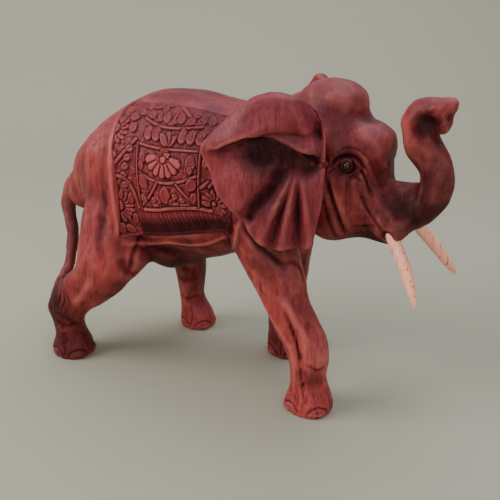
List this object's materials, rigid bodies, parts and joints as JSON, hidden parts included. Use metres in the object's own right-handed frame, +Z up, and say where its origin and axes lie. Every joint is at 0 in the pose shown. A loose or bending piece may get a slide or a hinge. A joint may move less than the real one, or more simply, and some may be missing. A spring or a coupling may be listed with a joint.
{
  "type": "carved wooden elephant figure",
  "caption": "Standing carved wooden elephant with a raised trunk, carved saddle cloth, let-in ears, pale pegged tusks and bead pupils.",
  "frame": {"origin": "on the ground, below the middle of the whole figure's bounding box", "axes": "+X towards the head, +Y to the elephant's left, +Z up"},
  "size_m": [0.3188, 0.1396, 0.23],
  "materials": {
    "carved_wood": "satin",
    "ear_wood": "satin",
    "tusk_wood": "satin",
    "pupil_bead": "gloss",
    "pin_wood": "satin"
  },
  "bodies": {
    "root": {"body_carving": "carved_wood", "ear_right": "ear_wood", "ear_left": "ear_wood", "tusk_right": "tusk_wood", "tusk_left": "tusk_wood", "pupil_right": "pupil_bead", "pupil_left": "pupil_bead", "ear_pin_right": "pin_wood", "ear_pin_left": "pin_wood"}
  },
  "joints": []
}
